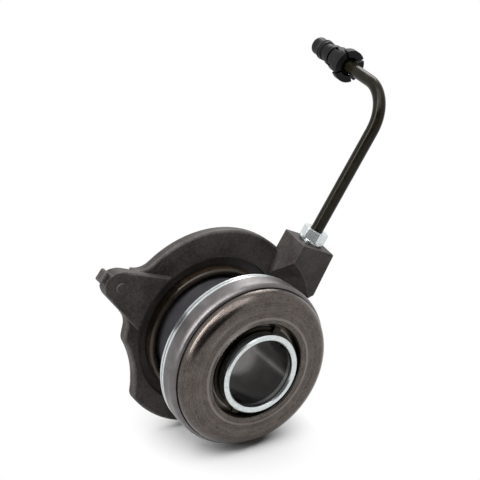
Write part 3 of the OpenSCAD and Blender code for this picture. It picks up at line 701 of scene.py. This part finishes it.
def open_gap(work):
    """Draw the collar's front end back."""
    for vert in work.verts:
        if (vert.co - PLUG_PLACE).dot(PLUG_LINE) > COLLAR_END - NEAR:
            vert.co -= PLUG_LINE * COLLAR_BACK


print("gap opened by", COLLAR_BACK / MM, "mm")

# %% [markdown]
# The nut, the plug and the collar have the small edge breaks of turned and moulded pieces. All
# their sharp edges get one width, but for the very short ones, which a bevel would turn over. The
# rounded edge keeps the finish of the faces beside it.

# %% Nut, plug and collar
SHORT_EDGE = 0.2 * MM
SAME_SLOT = -1
SMALL_PIECES = {
    "tube_nut": (0.18 * MM, [zinc_plate], "zinc_plate", None),
    "plug": (0.2 * MM, [black_plastic, painted_gap_shade], "black_plastic", None),
    "locking_collar": (0.2 * MM, [black_plastic], "black_plastic", open_gap),
}


def long_enough(edge):
    return edge.calc_length() > SHORT_EDGE


small = {}
for name, (width, finishes, slot_name, reshape) in SMALL_PIECES.items():
    small[name] = softened(name, finishes, [(width, long_enough)], SAME_SLOT, reshape)
    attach(small[name], "housing_body")
# the plug's tail in the gap takes the painted shade
for face in small["plug"].data.polygons:
    face.material_index = 1 if in_gap(face.center) else 0
print("small pieces:", len(small))

# %% [markdown]
# The rubber boot and the preload spring are the two pieces that change shape: the boot folds and
# the spring closes as the piston goes back. True folds would need another shape at every stroke.
# Here each is only copied, with a mesh of its own. The boot's lowest fold lies in the recess, and
# its faces take the greasy finish.

# %% Boot and spring
FOLD_TOP = 9 * MM
FOLD_START = 29.2 * MM


def closing_copy(node, finishes):
    """A copy that stands in for its solid, with a mesh of its own."""
    mesh, work = copied(node, finishes)
    piece = placed(node + "_soft", mesh, work)
    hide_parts(node)
    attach(piece, "housing_body")
    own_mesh(piece)
    return piece


boot = closing_copy("dust_boot", [boot_rubber, boot_grease])
for face in boot.data.polygons:
    greasy = -face.center.y < FOLD_TOP and math.hypot(face.center.x, face.center.z) > FOLD_START
    face.material_index = 1 if greasy else 0
closing_copy("preload_spring", [oiled_steel])

# %% [markdown]
# The other pieces keep their solids and only take a finish. The rings that show have their rounds
# and edge breaks in the solid already, and the rest is round by itself or lies in the dark.

# %% Finishes for the kept solids
KEPT = {
    "guide_sleeve": dark_steel,
    "nose_ring": zinc_plate,
    "sleeve_seal": seal_rubber,
    "stop_clip": piston_alloy,
    "piston": piston_alloy,
    "piston_seal": seal_rubber,
    "spring_seat": pale_plastic,
    "race_clip": shell_steel,
    "inner_race": oiled_steel,
    "bearing_balls": ball_steel,
    "ball_cage": cage_brass,
    "thrust_ring": thrust_steel,
    "bearing_shell": shell_steel,
    "backing_ring": groove_plate,
    "hydraulic_pipe": pipe_lacquer,
    "plug_seal": seal_rubber,
}
for name, finish in KEPT.items():
    nodes[name].data.materials.clear()
    nodes[name].data.materials.append(finish)
print("finished solids:", len(KEPT))

# %% [markdown]
# The nose ring's dark line of painted shade belongs to its bore. On the outside it would be wrong,
# so only the faces close to the axis take the finish with the line.

# %% Bore of the nose ring
NOSE_WALL = 17.5 * MM
nose = nodes["nose_ring"].data
nose.materials.append(nose_plate)
for face in nose.polygons:
    face.material_index = 1 if math.hypot(face.center.x, face.center.z) < NOSE_WALL else 0
print("nose ring finishes:", [finish.name for finish in nose.materials])

# %% [markdown]
# The part lies on a pale table as it would on a bench: on the lower rim of its flange and the
# lower rim of its bearing. The table is a wide disc that leans to touch both, just clear of the
# flange, so that no face lies in another.

# %% Table
TABLE_REACH = 0.9
TABLE_SIDES = 96
TABLE_CLEAR = 0.5 * MM
flange_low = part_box("housing")[0].z
shell_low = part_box("bearing_shell")[0]
lean = math.atan2(shell_low.z - flange_low, abs(shell_low.y))


def disc(name, radius, sides):
    """A flat round face as an object."""
    mesh = bpy.data.meshes.new(name)
    work = bmesh.new()
    bmesh.ops.create_circle(work, cap_ends=True, segments=sides, radius=radius)
    work.to_mesh(mesh)
    work.free()
    flat = bpy.data.objects.new(name, mesh)
    bpy.context.scene.collection.objects.link(flat)
    return flat


table = disc("table", TABLE_REACH, TABLE_SIDES)
table.location = (0, 0, flange_low - TABLE_CLEAR)
table.rotation_euler = (-lean, 0, 0)
print("table leans", round(math.degrees(lean), 1), "degrees")

# %% [markdown]
# A white backdrop could be made with more light, but that would bleach the part. Instead the
# table and the world tell rays apart: where the camera or a gloss looks they are plain white, and
# the light that only fills sees something weaker.

# %% Tell the rays apart
def seen_directly(tree):
    """1 where the camera, a gloss or a clear piece looks, 0 for light that only fills."""
    path = tree.nodes.new("ShaderNodeLightPath")
    value = path.outputs["Is Camera Ray"]
    for ray in ("Is Glossy Ray", "Is Transmission Ray"):
        either = tree.nodes.new("ShaderNodeMath")
        either.operation = "MAXIMUM"
        tree.links.new(value, either.inputs[0])
        tree.links.new(path.outputs[ray], either.inputs[1])
        value = either.outputs["Value"]
    return value


print("helper made: seen_directly")

# %% [markdown]
# Close to the part the table is real and holds the soft shadow. Further out it fades to white, in
# an oval round the place where the part rests, so that it melts into the backdrop and only the
# shadow tells where it is.

# %% Table finish
TABLE_COLOR = (0.74, 0.74, 0.74)
SHADOW_MIDDLE = (-0.003, -0.0155, 0)
SHADOW_STRETCH = (1.25, 0.8, 1)
SHADOW_REACH = 0.022
WHITE_START = 0.0485
table_finish, tree, shader = new_finish("table_white", TABLE_COLOR, roughness=0.9, Specular_IOR_Level=0.1)
distance = tree.nodes.new("ShaderNodeVectorMath")
distance.operation = "DISTANCE"
distance.inputs[1].default_value = SHADOW_MIDDLE
tree.links.new(place(tree, SHADOW_STRETCH), distance.inputs[0])
outer = spread(tree, distance.outputs["Value"], 0.0, 1.0, start=SHADOW_REACH, end=WHITE_START)
fade = tree.nodes.new("ShaderNodeMath")
fade.operation = "MULTIPLY"
tree.links.new(outer, fade.inputs[0])
tree.links.new(seen_directly(tree), fade.inputs[1])
white = tree.nodes.new("ShaderNodeEmission")
mix = tree.nodes.new("ShaderNodeMixShader")
tree.links.new(fade.outputs["Value"], mix.inputs["Fac"])
tree.links.new(shader.outputs["BSDF"], mix.inputs[1])
tree.links.new(white.outputs["Emission"], mix.inputs[2])
tree.links.new(mix.outputs["Shader"], tree.nodes["Material Output"].inputs["Surface"])
table.data.materials.append(table_finish)
print("table fades to white from", SHADOW_REACH, "to", WHITE_START, "m")

# %% [markdown]
# The world is a white room: the camera and the gloss see it at full white, and only a weak share
# of it fills the shadows, so that the dark casting stays dark.

# %% World
FILL = 0.18
world = bpy.data.worlds.new("studio")
bpy.context.scene.world = world
world.use_nodes = True
tree = world.node_tree
background = tree.nodes["Background"]
background.inputs["Color"].default_value = (1, 1, 1, 1)
room = spread(tree, seen_directly(tree), FILL, 1.0, start=0, end=1)
tree.links.new(room, background.inputs["Strength"])
print("fill light:", FILL)

# %% [markdown]
# The light is a plain studio: one long softbox that leans from the left to overhead, a shorter
# one behind on the right and a wide, weak one overhead. Between the first two lies the dark band
# on the bearing's shoulder. A black card behind the camera keeps the front dark. Everything is
# aimed at the middle of the part.

# %% Lamps and card
CENTRE = Vector((0.01, -0.02, 0.02))
CARD_PLACE = (-0.40, -0.74, 0.47)
CARD_RADIUS = 0.7
CARD_SIDES = 64
CARD_BLACK = (0.01, 0.01, 0.01)


def aim(thing, place_at):
    """Put a lamp or a card somewhere and turn it to the part."""
    thing.location = place_at
    thing.rotation_euler = (CENTRE - Vector(place_at)).to_track_quat("-Z", "Y").to_euler()


def softbox(name, place_at, width, height, watts):
    """A flat lamp with soft edges to its shadows."""
    lamp = bpy.data.lights.new(name, "AREA")
    lamp.shape = "RECTANGLE"
    lamp.size = width
    lamp.size_y = height
    lamp.energy = watts
    holder = bpy.data.objects.new(name, lamp)
    aim(holder, place_at)
    bpy.context.scene.collection.objects.link(holder)


card = disc("dark_card", CARD_RADIUS, CARD_SIDES)
card.data.materials.append(new_finish("dark_card", CARD_BLACK, roughness=0.9)[0])
card.visible_camera = False
aim(card, CARD_PLACE)
softbox("key", place_at=(-0.66, -0.02, 0.64), width=0.2, height=0.9, watts=6.5)
softbox("rim", place_at=(0.55, 0.55, 0.62), width=0.45, height=0.45, watts=3.6)
softbox("overhead", place_at=(-0.15, -0.3, 1.0), width=1.0, height=1.0, watts=10)
print("lamps:", len(bpy.data.lights))

# %% [markdown]
# The Standard view shows colours as they are written.

# %% View
bpy.context.scene.view_settings.view_transform = "Standard"
